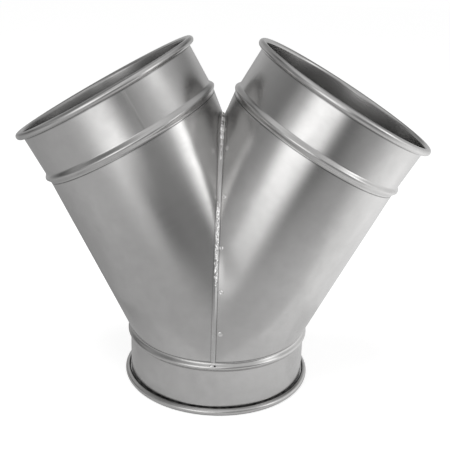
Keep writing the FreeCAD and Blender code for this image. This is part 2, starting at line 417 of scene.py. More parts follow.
@dataclass(frozen=True)
class GalvanisedFinish:
    """Satin galvanised sheet: cloudy zinc with faint spangle, rolling lines and handling marks.

    Near black can be mixed into grooves, steps and the inside: painted shade.
    """

    pale: Colour = (0.62, 0.615, 0.61, 1)
    dull: Colour = (0.565, 0.56, 0.555, 1)
    # Near black, mixed in as painted shade.
    painted_shade: Colour = (0.02, 0.02, 0.02, 1)
    smooth_roughness: float = 0.18
    dull_roughness: float = 0.21
    shade_roughness: float = 0.55
    cloud_scale: float = 11
    mottle_scale: float = 70
    spangle_scale: float = 95
    line_stretch: Triple = (5, 5, 650)
    grain_scale: float = 900
    mottle_share: float = 0.45
    cloud_share: float = 0.55
    spangle_share: float = 0.12
    patch_share: float = 0.88
    patch_range: Span = (0.32, 0.68)
    satin_range: Span = (0.3, 0.7)
    line_roughness: float = 0.05
    # Noise that makes the painted shade patchy.
    shade_speck_scale: float = 160
    shade_speck_range: Span = (0.3, 0.65)
    least_shade: float = 0.8
    # How the painted shade fades at the edges of its shell.
    shell_fade: Span = (0.3 * MM, 1.2 * MM)
    # How the painted shade on the inside fades.
    inner_shade_fade: float = 0.2 * MM
    wave_scale: float = 24
    wave_height: float = 0.02 * MM
    line_height: float = 0.0012 * MM
    grain_height: float = 0.0012 * MM

    def dress(
        self, name: str, place: Matrix, bands: list[ShadeBand], shell: Span, inner_shade: Span = (0, 0)
    ) -> bpy.types.Material:
        """Make the material of one sheet.

        Args:
            name: name of the material.
            place: the sheet's own axes, along whose Z the rolling lines are stacked.
            bands: where the sheet is darkened, in grooves and at steps with painted shade.
            shell: radii from the sheet's own axis between which the bands' painted shade shows.
            inner_shade: radius within which the inside is darkened with painted shade, and how dark.

        Returns:
            The material.
        """
        bench = NodeBench(name)
        part = bench.add("TexCoord").outputs["Object"]
        turned = {"Vector": part, "Location": place.to_translation(), "Rotation": place.to_euler()}
        own = bench.add("Mapping", turned, vector_type="TEXTURE").outputs[0]
        clouds = bench.noise(own, self.cloud_scale, 5)
        mottle = bench.noise(own, self.mottle_scale, 4)
        cells = bench.add("TexVoronoi", {"Vector": own, "Scale": self.spangle_scale}).outputs["Color"]
        spangle = bench.add("SeparateColor", {0: cells}).outputs[0]
        lines_at = bench.add("Mapping", {"Vector": own, "Scale": self.line_stretch}).outputs[0]
        lines = bench.noise(lines_at, 1, 2)
        grain = bench.noise(own, self.grain_scale, 2)
        waves = bench.noise(own, self.wave_scale, 1)

        cloudy = bench.calc("MULTIPLY", clouds, self.cloud_share)
        patchy = bench.calc("MULTIPLY_ADD", mottle, self.mottle_share, cloudy)
        patches = bench.ramp(patchy, *self.patch_range, 0, self.patch_share)
        zinc = bench.calc("MULTIPLY_ADD", spangle, self.spangle_share, patches)
        # Painted shade: grooves, steps and the inside darkened towards near black.
        shade_share = self.shade_share(bench, part, own, bands, shell, inner_shade)
        metal = bench.mix(zinc, self.dull, self.pale)
        colour = bench.mix(shade_share, metal, self.painted_shade)
        satin = bench.ramp(patchy, *self.satin_range, self.dull_roughness, self.smooth_roughness)
        lined = bench.calc("MULTIPLY_ADD", lines, self.line_roughness, satin)
        rough = bench.calc("MAXIMUM", lined, bench.calc("MULTIPLY", shade_share, self.shade_roughness))
        relief = bench.bumps([
            (waves, self.wave_height), (lines, self.line_height), (grain, self.grain_height),
        ])
        inputs = {"Base Color": colour, "Metallic": 1.0, "Roughness": rough, "Normal": relief}
        return bench.finish(bench.add("BsdfPrincipled", inputs).outputs[0])

    def shade_share(
        self, bench: NodeBench, part: bpy.types.NodeSocket, own: bpy.types.NodeSocket,
        bands: list[ShadeBand], shell: Span, inner_shade: Span,
    ) -> bpy.types.NodeSocket:
        """Share of painted shade in grooves, at steps and on the inside, made patchy by noise.

        Args:
            bench: the material's nodes.
            part: coordinates of the part.
            own: coordinates of the sheet.
            bands: the darkened grooves and steps.
            shell: radii from the sheet's own axis between which the painted shade shows.
            inner_shade: radius within which the inside is darkened with painted shade, and how dark.

        Returns:
            A value from 0 to 1.
        """
        in_part = bench.add("SeparateXYZ", {0: part}).outputs
        in_sheet = bench.add("SeparateXYZ", {0: own}).outputs
        axes = {Axis.ACROSS: in_part[0], Axis.HEIGHT: in_part[2], Axis.INWARD: in_sheet[2]}
        level = bench.add("VectorMath", {0: own, 1: (1, 1, 0)}, operation="MULTIPLY").outputs[0]
        radius = bench.add("VectorMath", {0: level}, operation="LENGTH").outputs["Value"]
        past_inner = bench.ramp(radius, shell[0] - self.shell_fade[0], shell[0], 0, 1)
        within_outer = bench.ramp(radius, shell[1], shell[1] + self.shell_fade[1], 1, 0)
        in_shell = bench.calc("MULTIPLY", past_inner, within_outer)
        specks = bench.noise(part, self.shade_speck_scale, 4)
        uneven = bench.ramp(specks, *self.shade_speck_range, self.least_shade, 1)
        total = 0.0
        for groove in bands:
            fade = bench.band(axes[groove.axis], groove.middle, groove.reach)
            total = bench.calc("MAXIMUM", total, bench.calc("MULTIPLY", fade, groove.strength))
        grooves = bench.calc("MULTIPLY", bench.calc("MULTIPLY", total, uneven), in_shell)
        # Painted shade on the inside of the bore.
        inside = bench.ramp(radius, inner_shade[0], inner_shade[0] + self.inner_shade_fade, inner_shade[1], 0)
        return bench.calc("MAXIMUM", grooves, inside)


@dataclass(frozen=True)
class WeldFinish:
    """Bare weld metal: bright, lumpy, with dark specks left by fluxing."""

    bright: Colour = (0.93, 0.925, 0.92, 1)
    scorched: Colour = (0.42, 0.41, 0.40, 1)
    smooth_roughness: float = 0.26
    scorched_roughness: float = 0.35
    speck_scale: float = 420
    speck_range: Span = (0.6, 0.75)
    ripple_scale: float = 700
    ripple_height: float = 0.12 * MM

    def dress(self, name: str) -> bpy.types.Material:
        """Make the material of some weld metal.

        Args:
            name: name of the material.

        Returns:
            The material.
        """
        bench = NodeBench(name)
        part = bench.add("TexCoord").outputs["Object"]
        specks = bench.ramp(bench.noise(part, self.speck_scale, 4), *self.speck_range)
        colour = bench.mix(specks, self.bright, self.scorched)
        rough = bench.ramp(specks, 0, 1, self.smooth_roughness, self.scorched_roughness)
        relief = bench.bumps([(bench.noise(part, self.ripple_scale, 3), self.ripple_height)])
        inputs = {"Base Color": colour, "Metallic": 1.0, "Roughness": rough, "Normal": relief}
        return bench.finish(bench.add("BsdfPrincipled", inputs).outputs[0])


@dataclass
class Collar:
    """A rolled collar: lip, wall and the swaged bead that locks it over a leg's neck."""

    node: str
    mouth: Mouth
    sizes: DuctSizes
    finish: GalvanisedFinish
    # How dark the painted shade is in the crevice behind the lip, and how far out it spreads.
    joint_turn: float
    crevice_shade: float
    crevice_spread: float
    # How dark the painted shade is on the inside of the bore.
    bore_shade: float
    crevice_reach: float = 3.0 * MM
    crevice_depth: float = 1.0 * MM
    edge_round: float = 0.22 * MM
    joint_half: float = 2.2 * MM
    joint_height: float = 0.11 * MM
    joint_sink: float = 0.015 * MM
    joint_root: float = 0.2 * MM
    joint_gap: float = 0.5 * MM
    joint_points: int = 13
    bead_points: int = 25
    roll_points: tuple[int, int] = (36, 30)
    steps: int = 288

    def profile(self) -> Outline:
        """Half section of the collar.

        Returns:
            A closed outline: distance from the axis, then distance in from the end of the lip.
        """
        s = self.sizes
        lip_turn = 2 * math.pi + math.acos((s.lip_gap + s.wall) / s.lip_radius - 1)
        roll = (s.bore + s.lip_radius, s.lip_radius)
        places = s.bead_places(-s.bead_spread, self.bead_points)
        bead = [(s.swell(away), s.collar_length + away) for away in places]
        outline = [(s.bore, s.rim)]
        outline += [(s.bore + height, inward) for height, inward in reversed(bead)]
        outline += arc(roll, s.lip_radius, math.pi, lip_turn, self.roll_points[0])
        outline += arc(roll, s.lip_radius - s.wall, lip_turn, math.pi, self.roll_points[1])
        outline += [(s.outside + height, inward) for height, inward in bead]
        outline.append((s.outside, s.rim))
        return outline

    def rings(self, bm: bmesh.types.BMesh, radius: float, inward: float) -> list[bmesh.types.BMEdge]:
        """Find a ring of the collar before it is put in its place.

        Args:
            bm: the collar's mesh.
            radius: radius of the ring.
            inward: its distance in from the end of the lip.

        Returns:
            The edges of the ring.
        """
        near = 0.02 * MM

        def on_ring(vert: bmesh.types.BMVert) -> bool:
            """Whether a vertex is on the ring."""
            return abs(vert.co.xy.length - radius) < near and abs(vert.co.z - inward) < near

        return [edge for edge in bm.edges if all(on_ring(vert) for vert in edge.verts)]

    def build(self) -> bpy.types.Object:
        """Turn the profile, round its rim and dress the collar.

        Returns:
            The collar.
        """
        s = self.sizes
        bm = bmesh.new()
        outline = [bm.verts.new((out, 0, inward)) for out, inward in self.profile()]
        edges = [bm.edges.new(pair) for pair in zip(outline, outline[1:] + outline[:1])]
        bmesh.ops.spin(
            bm, geom=outline + edges, cent=(0, 0, 0), axis=UP, angle=2 * math.pi,
            steps=self.steps, use_merge=True,
        )
        bmesh.ops.remove_doubles(bm, verts=bm.verts[:], dist=HAIR)
        bmesh.ops.recalc_face_normals(bm, faces=bm.faces[:])
        rim_edges = self.rings(bm, s.bore, s.rim) + self.rings(bm, s.outside, s.rim)
        bmesh.ops.bevel(
            bm, geom=rim_edges, offset=self.edge_round, offset_type="OFFSET", segments=3, profile=0.5,
            affect="EDGES", material=-1,
        )
        place = self.mouth.frame(0, Facing.INTO_PART)
        bmesh.ops.transform(bm, matrix=place, verts=bm.verts[:])
        # Painted shade in the crevice between the lip's roll and the wall.
        crevice = 2 * s.lip_radius - self.crevice_depth
        bands = [ShadeBand(Axis.INWARD, crevice, self.crevice_reach, self.crevice_shade)]
        shell = (s.outside, s.outside + self.crevice_spread)
        # Painted shade on the inside of the bore.
        inner_shade = (s.bore + 0.5 * s.wall, self.bore_shade)
        material = self.finish.dress(f"{self.node}_zinc", place, bands, shell, inner_shade)
        self.add_joint(bm, place)
        return make_piece(f"{self.node}_sheet", bm, material, self.node)

    def add_joint(self, bm: bmesh.types.BMesh, place: Matrix) -> None:
        """Add the joint where the collar's strip was closed: a low, dressed ridge along the wall.

        Args:
            bm: mesh of the collar, in the part's frame.
            place: the collar's own axes.
        """
        s = self.sizes
        start = 2 * s.lip_radius + self.joint_gap
        length = s.collar_length - s.bead_spread - start
        asides = [2 * index / (self.joint_points - 1) - 1 for index in range(self.joint_points)]
        crown = [math.cos(0.5 * math.pi * aside) ** 2 for aside in asides]
        section = [(aside, self.joint_height * rise) for aside, rise in zip(asides, crown)]
        section += [(1, -self.joint_root), (-1, -self.joint_root)]
        corners = []
        for aside, rise in section:
            turn = math.radians(self.joint_turn) + aside * self.joint_half / s.outside
            out = s.outside + rise - self.joint_sink
            corner = Vector((out * math.cos(turn), out * math.sin(turn), start))
            corners.append(bm.verts.new(place @ corner))
        wall = set(bm.faces)
        grown = bmesh.ops.extrude_face_region(bm, geom=[bm.faces.new(corners)])["geom"]
        bmesh.ops.translate(bm, vec=place.to_3x3() @ UP * length, verts=verts_of(grown))
        bmesh.ops.recalc_face_normals(bm, faces=[face for face in bm.faces if face not in wall])


@dataclass(frozen=True)
class Fork:
    """Form that the two legs share: round necks, straight rulings and a seam in the plane X = 0."""

    sizes: DuctSizes
    base: Mouth
    branches: dict[Side, Mouth]
    segments: int = 288
    rows: int = 90
    neck_points: int = 9
    wave_height: float = 0.16 * MM
    wave_scale: float = 13
    wave_reach: float = 40 * MM
    # Painted shade where the collars' rims meet the leg.
    rim_shade: float = 0.6
    rim_shade_reach: float = 0.9 * MM

    def neck_outline(self) -> Outline:
        """Inside of a neck, from its hooked end to its shoulder.

        Returns:
            Distance in from the end of the lip, then radius.
        """
        s = self.sizes
        inside = s.neck - s.wall
        places = s.bead_places(-s.neck_hook, self.neck_points)
        swaged = [(s.collar_length + away, inside + s.swell(away)) for away in places]
        return swaged + [(s.collar_length + s.shoulder, s.bore)]

    def loft(self, bm: bmesh.types.BMesh, side: Side, outline: Outline) -> None:
        """Run a sheet from the base to a branch, ring by ring, with straight rulings between.

        Args:
            bm: mesh to add to.
            side: the branch.
            outline: distance in from the lip and radius of the rings of one neck, the shoulder last.
        """
        s = self.sizes
        branch = self.branches[side]
        rings = [(self.base.frame(inward, Facing.INTO_PART), radius) for inward, radius in outline]
        rings += [
            (branch.frame(inward, Facing.OUT_OF_MOUTH), radius) for inward, radius in outline[::-1]
        ]
        first, radius = rings[0]
        circle = bmesh.ops.create_circle(bm, segments=self.segments, radius=radius, matrix=first)
        edges = list({edge for vert in circle["verts"] for edge in vert.link_edges})
        for (before, old_radius), (after, new_radius) in zip(rings, rings[1:]):
            grown = bmesh.ops.extrude_edge_only(bm, edges=edges)["geom"]
            moved = set(verts_of(grown))
            step = after @ Matrix.Scale(new_radius / old_radius, 4) @ before.inverted()
            bmesh.ops.transform(bm, matrix=step, verts=list(moved))
            edges = [edge for edge in bm.edges if all(vert in moved for vert in edge.verts)]
        rulings = [edge for edge in bm.edges if edge.calc_length() > s.outside]
        bmesh.ops.subdivide_edges(bm, edges=rulings, cuts=self.rows, use_grid_fill=True)

    def form_by_hand(self, bm: bmesh.types.BMesh, side: Side) -> None:
        """Give a leg the slight waves of a sheet that was bent by hand, none at its seam or ends.

        Args:
            bm: the leg's sheet.
            side: the leg.
        """
        branch = self.branches[side]
        neck = self.sizes.collar_length + self.sizes.shoulder
        bm.normal_update()
        for vert in bm.verts:
            from_branch = -(vert.co - branch.centre).dot(branch.outward)
            free = min(vert.co.z - neck, from_branch - neck, abs(vert.co.x))
            wave = noise.noise(vert.co * self.wave_scale + ACROSS * side.value)
            vert.co += vert.normal * wave * self.wave_height * ease(free / self.wave_reach)

    def sheet(self, side: Side) -> bmesh.types.BMesh:
        """Form the sheet of a leg, not yet cut at the seam.

        Args:
            side: the leg.

        Returns:
            The mesh of its inside.
        """
        bm = bmesh.new()
        self.loft(bm, side, self.neck_outline())
        self.form_by_hand(bm, side)
        return bm

    def finish_leg(
        self, bm: bmesh.types.BMesh, side: Side, node: str, finish: GalvanisedFinish,
        seam_line: ShadeBand,
    ) -> bpy.types.Object:
        """Give a leg's sheet its wall and finish, with painted shade at its seam and its collars' rims.

        Args:
            bm: the sheet, with its faces outwards.
            side: the leg.
            node: the solid that the leg stands for.
            finish: its finish.
            seam_line: painted shade beside the seam.

        Returns:
            The leg.
        """
        s = self.sizes
        bmesh.ops.solidify(bm, geom=bm.faces[:], thickness=-s.wall)
        bmesh.ops.recalc_face_normals(bm, faces=bm.faces[:])
        place = self.branches[side].frame(0, Facing.INTO_PART)
        # Painted shade beside the seam and where the collars' rims meet the leg.
        bands = [seam_line] + [
            ShadeBand(axis, s.rim + s.shoulder_gap, self.rim_shade_reach, self.rim_shade)
            for axis in (Axis.INWARD, Axis.HEIGHT)
        ]
        material = finish.dress(f"{node}_zinc", place, bands, ANYWHERE)
        return make_piece(f"{node}_sheet", bm, material, node)

    def flank(self, turn: float, share: float) -> Vector:
        """Point on the outside of the right leg's flank.

        Args:
            turn: angle round the duct from +X, in radians.
            share: 0 at the base shoulder, 1 at the branch shoulder.

        Returns:
            The point in the part's frame.
        """
        inward = self.sizes.collar_length + self.sizes.shoulder
        level = self.sizes.outside * Vector((math.cos(turn), math.sin(turn), 0))
        low = self.base.frame(inward, Facing.INTO_PART) @ level
        high = self.branches[Side.RIGHT].frame(inward, Facing.OUT_OF_MOUTH) @ level
        return low.lerp(high, share)

    def flank_at(self, turn: float, across: float) -> Vector:
        """Point on the outside of the right leg's flank, or on its rulings where they are made longer.

        Args:
            turn: angle round the duct from +X, in radians.
            across: X of the point.

        Returns:
            The point in the part's frame.
        """
        low = self.flank(turn, 0)
        high = self.flank(turn, 1)
        return low.lerp(high, (across - low.x) / (high.x - low.x))

    def flank_frame(self, turn: float, across: float) -> Matrix:
        """Axes on the right leg's outside: X along the seam, Z out of the sheet.

        Args:
            turn: angle round the duct from +X, in radians.
            across: X of the place.

        Returns:
            The matrix from those axes to the part's frame.
        """
        small = math.radians(0.2)
        here = self.flank_at(turn, across)
        before = self.flank_at(turn - small, across)
        along = (self.flank_at(turn + small, across) - before).normalized()
        aside = (self.flank_at(turn, across + MM) - here).normalized()
        out = along.cross(aside).normalized()
        matrix = Matrix((along, out.cross(along), out)).transposed().to_4x4()
        return Matrix.Translation(here) @ matrix

    def seam_frame(self, turn: float) -> Matrix:
        """Axes on the seam: X along it, Y across the part, Z outwards in the plane of the seam.

        Args:
            turn: angle round the duct from +X, in radians.

        Returns:
            The matrix from those axes to the part's frame.
        """
        along = self.flank_frame(turn, 0).col[0].to_3d()
        matrix = Matrix((along, ACROSS, along.cross(ACROSS))).transposed().to_4x4()
        return Matrix.Translation(self.flank_at(turn, 0)) @ matrix


@dataclass
class SeamPath:
    """The seam as a path that is measured from the crotch down the front or the back."""

    fork: Fork
    samples: int = 600
    turns: list[float] = field(init=False)
    lengths: list[float] = field(init=False)

    def __post_init__(self) -> None:
        """Measure the length of the seam at evenly spaced turns."""
        quarter = 0.5 * math.pi
        self.turns = [math.pi - quarter * index / self.samples for index in range(self.samples + 1)]
        points = [self.fork.flank_at(turn, 0) for turn in self.turns]
        self.lengths = [0.0]
        for before, after in zip(points, points[1:]):
            self.lengths.append(self.lengths[-1] + (after - before).length)

    def turn_at(self, length: float, face: Face) -> float:
        """Turn round the duct at a length down from the crotch.

        Args:
            length: distance down the seam.
            face: the front or the back.

        Returns:
            The angle from +X, in radians.
        """
        index = min(range(self.samples), key=lambda place: abs(self.lengths[place] - length))
        turn = self.turns[index]
        return turn if face is Face.BACK else 2 * math.pi - turn

    def place(self, length: float, face: Face) -> Matrix:
        """Axes on the seam: X along it, Y across the part, Z outwards."""
        return self.fork.seam_frame(self.turn_at(length, face))

    def beside(self, length: float, face: Face, across: float) -> Matrix:
        """Axes on the right leg's outside, level with a length down the seam: X along it, Z outwards.

        Args:
            length: distance down the seam from the crotch.
            face: the front or the back.
            across: X of the place.

        Returns:
            The matrix from those axes to the part's frame.
        """
        level = self.place(length, face).inverted()
        turns = self.turns if face is Face.BACK else [2 * math.pi - turn for turn in self.turns]
        turn = min(turns, key=lambda turn: abs((level @ self.fork.flank_at(turn, across)).x))
        return self.fork.flank_frame(turn, across)


@dataclass
class RightLeg:
    """The leg that overlaps: its seam edge is folded back on itself as a hem."""

    fork: Fork
    path: SeamPath
    finish: GalvanisedFinish
    # Finish of the hem, paler than the leg: painted sheen.
    hem_sheen_finish: GalvanisedFinish
    node: str = "right_leg"
    hem_width: float = 4.4 * MM
    crown: tuple[Triple, ...] = (
        (-1, 0.1, 0), (-0.8, 0.5, 0.03), (-0.5, 0.85, 0.15), (-0.25, 0.95, 0.26), (0, 1, 0.3),
        (0.25, 0.95, 0.26), (0.5, 0.85, 0.15), (0.8, 0.5, 0.03), (1, 0.1, 0),
    )
    soft_slope: float = 0.3
    # Painted shade along the foot of the hem.
    seam_shade: float = 0.6
    seam_shade_gap: float = 0.3 * MM
    seam_shade_reach: float = 0.7 * MM
    # The hem is darker towards the bottom.
    low_darkening: float = 0.2
    low_darkening_reach: float = 140 * MM
    dent_span: Span = (146 * MM, 208 * MM)
    dent_across: Triple = (1.0 * MM, 8 * MM, 30 * MM)
    dent_depth: float = 0.9 * MM
    stations: int = 240
    sunk: float = 0.4 * MM

    def hem_section(self, turn: float) -> list[Vector]:
        """Section of the hem: crowned above, sunk into both legs below.

        The crown's edges are crisp where the legs meet in a ridge, and soft where they meet in a valley.

        Args:
            turn: angle round the duct from +X, in radians.

        Returns:
            A closed outline in the part's frame.
        """
        s = self.fork.sizes
        place = self.fork.seam_frame(turn)
        normal = place.inverted().to_3x3() @ self.fork.flank_frame(turn, 0).col[2].to_3d()
        slope = -normal.y / normal.z
        half = 0.5 * self.hem_width
        soft = ease(slope / self.soft_slope)
        outline = [
            (half * aside, s.hem_height * (crisp + (round_off - crisp) * soft))
            for aside, crisp, round_off in self.crown
        ]
        outline += [(half, -self.sunk), (0, -self.sunk), (-half, -self.sunk)]
        return [place @ Vector((0, aside, abs(aside) * slope + height)) for aside, height in outline]

    def dent(self, bm: bmesh.types.BMesh) -> None:
        """Let the front sink slightly beside the seam, where two spot welds drew the sheet in.

        Args:
            bm: the leg's sheet, with its faces outwards.
        """
        high, low = (self.path.place(length, Face.FRONT).translation.z for length in self.dent_span)
        start, deepest, end = self.dent_across
        bm.normal_update()
        for vert in bm.verts:
            level = (vert.co.z - low) / (high - low)
            if vert.co.y < 0 and 0 < level < 1:
                near = ease((vert.co.x - start) / (deepest - start))
                far = ease((end - vert.co.x) / (end - deepest))
                sink = near * far * math.sin(math.pi * level) ** 2
                vert.co -= vert.normal * self.dent_depth * sink

    def hem(self) -> bmesh.types.BMesh:
        """Sweep the folded edge over the seam, from the foot of the front to the foot of the back.

        Returns:
            The mesh of the strip.
        """
        bm = bmesh.new()
        loops = []
        for index in range(self.stations + 1):
            turn = math.pi * (1.5 - index / self.stations)
            loops.append([bm.verts.new(point) for point in self.hem_section(turn)])
        for before, after in zip(loops, loops[1:]):
            for pair in zip(before, before[1:] + before[:1], after[1:] + after[:1], after):
                bm.faces.new(pair)
        bmesh.ops.contextual_create(bm, geom=loops[0])
        bmesh.ops.contextual_create(bm, geom=loops[-1])
        bmesh.ops.recalc_face_normals(bm, faces=bm.faces[:])
        return bm

    def build(self) -> bpy.types.Object:
        """Lay the hem over the seam, form the leg, cut it at the seam and give it its wall.

        Returns:
            The leg, without its hem.
        """
        place = self.fork.branches[Side.RIGHT].frame(0, Facing.INTO_PART)
        # The hem is darker towards the bottom.
        low_darkening_band = [ShadeBand(Axis.HEIGHT, self.fork.sizes.rim, self.low_darkening_reach, self.low_darkening)]
        # The hem's zinc is paler than the leg's: painted sheen.
        hem_material = self.hem_sheen_finish.dress("seam_hem_sheen_zinc", place, low_darkening_band, ANYWHERE)
        make_piece("seam_hem", self.hem(), hem_material)
        bm = self.fork.sheet(Side.RIGHT)
        cut_square(bm, 0, Side.RIGHT)
        turn_outwards(bm, Side.RIGHT)
        self.dent(bm)
        # Painted shade along the foot of the hem, on the right leg.
        beside_hem = 0.5 * self.hem_width + self.seam_shade_gap
        seam_line = ShadeBand(Axis.ACROSS, beside_hem, self.seam_shade_reach, self.seam_shade)
        return self.fork.finish_leg(bm, Side.RIGHT, self.node, self.finish, seam_line)


@dataclass
class LeftLeg:
    """The leg that is overlapped: its seam edge steps in and runs on under the right leg."""

    fork: Fork
    finish: GalvanisedFinish
    node: str = "left_leg"
    # Painted shade along the foot of the hem, on the left leg.
    seam_line: ShadeBand = ShadeBand(Axis.ACROSS, -2.5 * MM, 0.6 * MM, 0.4)

    def add_flange(self, bm: bmesh.types.BMesh) -> None:
        """Add the flange that runs on under the right leg, and step the seam edge in to it.

        Args:
            bm: the leg's sheet, cut at the seam.
        """
        s = self.fork.sizes
        flange = bmesh.new()
        lap_inside = s.bore - s.wall - s.sheet_gap
        self.fork.loft(flange, Side.RIGHT, [(s.collar_length + s.shoulder, lap_inside)])
        cut_square(flange, 0, Side.RIGHT)
        cut_square(flange, s.lap, Side.LEFT)
        lap = bpy.data.meshes.new("lap")
        flange.to_mesh(lap)
        flange.free()
        bm.from_mesh(lap)
        bpy.data.meshes.remove(lap)
        lowest = s.collar_length + s.shoulder - 0.01 * MM
        arch = [
            edge for edge in seam_edges(bm, -s.seam_groove) + seam_edges(bm, 0)
            if all(vert.co.z > lowest for vert in edge.verts)
        ]
        bmesh.ops.bridge_loops(bm, edges=arch)

    def build(self) -> bpy.types.Object:
        """Form the leg, cut it at the seam, join its flange to it and give both their wall.

        Returns:
            The leg with its flange.
        """
        bm = self.fork.sheet(Side.LEFT)
        cut_square(bm, -self.fork.sizes.seam_groove, Side.LEFT)
        self.add_flange(bm)
        turn_outwards(bm, Side.LEFT)
        return self.fork.finish_leg(bm, Side.LEFT, self.node, self.finish, self.seam_line)


@dataclass(frozen=True)
class WeldRun:
    """A stretch of lumps along a weld. Lift and aside go from the first value to the second."""

    start: float
    end: float
    pitch: float
    lump: Triple
    stray: float
    lift: Span
    aside: Span = (0, 0)
    unevenness: float = 0.3
    stretch: Span = (0.85, 1.15)
    tilt: float = 0.5


@dataclass
class Welds:
    """The welds of the fitting: lumps at the crotch, a rough run on the seam, spots, and drops below.

    One drop is near black: painted shade of a notch in the base collar's bead.
    """

    path: SeamPath
    finish: WeldFinish
    glossy: WeldFinish
    dull: WeldFinish
    # Near-black finish: painted shade of a notch.
    notch_shade_finish: WeldFinish
    seed: int = 11
    crotch: WeldRun = WeldRun(
        0, 37 * MM, 4.6 * MM, (2.5 * MM, 2.0 * MM, 2.0 * MM), 0.5 * MM, (2.0 * MM, 0.6 * MM),
        aside=(-1.6 * MM, -0.6 * MM), unevenness=0.4,
    )
    upper: WeldRun = WeldRun(
        38 * MM, 64 * MM, 1.3 * MM, (2.0 * MM, 0.7 * MM, 0.7 * MM), 1.5 * MM, (0.6 * MM, 0.5 * MM),
    )
    middle: WeldRun = WeldRun(
        108 * MM, 193 * MM, 1.0 * MM, (2.2 * MM, 0.7 * MM, 0.7 * MM), 1.6 * MM, (0.7 * MM, 0.7 * MM),
    )
    voxel: float = 0.28 * MM
    spot_places: tuple[Span, ...] = (
        (53.6 * MM, 6.0 * MM), (101.5 * MM, 5.4 * MM), (153.2 * MM, 4.4 * MM), (199.5 * MM, 5.8 * MM),
        (244.4 * MM, 6.6 * MM),
    )
    spot_radius: float = 2.5 * MM
    spot_profile: tuple[Span, ...] = (
        (0, -0.3 * MM), (0.9, -0.3 * MM), (1, 0), (0.85, 0.24 * MM), (0.6, 0.3 * MM),
        (0.35, 0.14 * MM), (0, 0.1 * MM),
    )
    spot_steps: int = 24
    solder: Triple = (2.4 * MM, 1.8 * MM, 1.7 * MM)
    solder_aside: float = 1.4 * MM
    # A near-black drop that stands for the shade of a notch.
    notch_shade_size: Triple = (1.3 * MM, 1.0 * MM, 0.5 * MM)
    notch_shade_aside: float = -1.9 * MM
    foot_height: float = 2.5 * MM
    foot_tilt: float = math.radians(35)

    def lumps(self, bm: bmesh.types.BMesh, run: WeldRun, rng: random.Random, face: Face) -> None:
        """Add the lumps of one run.

        Args:
            bm: mesh to add to.
            run: the stretch and the size of its lumps.
            rng: source of unevenness.
            face: the front or the back of the seam.
        """
        count = round((run.end - run.start) / run.pitch)
        for index in range(count + 1):
            share = index / count
            place = self.path.place(run.start + (run.end - run.start) * share, face)
            lift = run.lift[0] + (run.lift[1] - run.lift[0]) * share
            growth = rng.uniform(1 - run.unevenness, 1 + run.unevenness)
            size = [half * growth * rng.uniform(*run.stretch) for half in run.lump]
            drift = run.aside[0] + (run.aside[1] - run.aside[0]) * share
            aside = drift + rng.uniform(-run.stray, run.stray)
            tilt = Matrix.Rotation(rng.uniform(-run.tilt, run.tilt), 4, "Z")
            shape = Matrix.Translation((0, aside, lift)) @ tilt @ Matrix.Diagonal((*size, 1))
            bmesh.ops.create_icosphere(bm, subdivisions=2, radius=1, matrix=place @ shape)

    def fuse(self, piece: bpy.types.Object) -> bpy.types.Object:
        """Melt the lumps of a piece into one skin.

        Args:
            piece: the lumps.

        Returns:
            The same piece.
        """
        melt = piece.modifiers.new("melt", "REMESH")
        melt.mode = "VOXEL"
        melt.voxel_size = self.voxel
        melt.use_smooth_shade = True
        settle = piece.modifiers.new("settle", "SMOOTH")
        settle.factor = 0.5
        settle.iterations = 1
        return piece

    def seam_weld(
        self, name: str, runs: tuple[WeldRun, ...], material: bpy.types.Material
    ) -> bpy.types.Object:
        """Weld metal on the front and the back of the seam.

        Args:
            name: name of the piece.
            runs: the stretches of lumps.
            material: their finish.

        Returns:
            The lumps, melted into one skin.
        """
        rng = random.Random(self.seed)
        bm = bmesh.new()
        for face in Face:
            for run in runs:
                self.lumps(bm, run, rng, face)
        return self.fuse(make_piece(name, bm, material))

    def spots(self, material: bpy.types.Material) -> bpy.types.Object:
        """Spot welds through the lap, down the front and the back of the seam.

        Args:
            material: their finish.

        Returns:
            The spots.
        """
        bm = bmesh.new()
        profile = [(share * self.spot_radius, height) for share, height in self.spot_profile]
        for face in Face:
            for length, aside in self.spot_places:
                place = self.path.beside(length, face, aside)
                outline = [bm.verts.new((out, 0, height)) for out, height in profile]
                edges = [bm.edges.new(pair) for pair in zip(outline, outline[1:])]
                bmesh.ops.spin(
                    bm, geom=outline + edges, cent=(0, 0, 0), axis=UP, angle=2 * math.pi,
                    steps=self.spot_steps, use_merge=True,
                )
                fresh = [vert for vert in bm.verts if not vert.tag]
                bmesh.ops.transform(bm, matrix=place, verts=fresh)
                for vert in fresh:
                    vert.tag = True
        bmesh.ops.remove_doubles(bm, verts=bm.verts[:], dist=HAIR)
        bmesh.ops.recalc_face_normals(bm, faces=bm.faces[:])
        return make_piece("spot_welds", bm, material)

    def feet(
        self, name: str, size: Triple, aside: float, material: bpy.types.Material
    ) -> bpy.types.Object:
        """Drops where the seam ends on the base collar's bead, front and back.

        Args:
            name: name of the piece.
            size: half lengths of a drop, along the bead, up it and out of it.
            aside: distance of the drop from the seam, to the left.
            material: its finish.

        Returns:
            The drops.
        """
        s = self.path.fork.sizes
        out = s.outside + s.swell(self.foot_height)
        inward = s.collar_length + self.foot_height
        wide, tall, thick = size
        shape = Matrix.Rotation(self.foot_tilt, 4, "X") @ Matrix.Diagonal((wide, thick, tall, 1))
        bm = bmesh.new()
        for face in Face:
            turned = Matrix.Rotation(0 if face is Face.BACK else math.pi, 4, "Z")
            place = turned @ Matrix.Translation((-face.value * aside, out, inward))
            bmesh.ops.create_icosphere(bm, subdivisions=3, radius=1, matrix=place @ shape)
        return make_piece(name, bm, material)

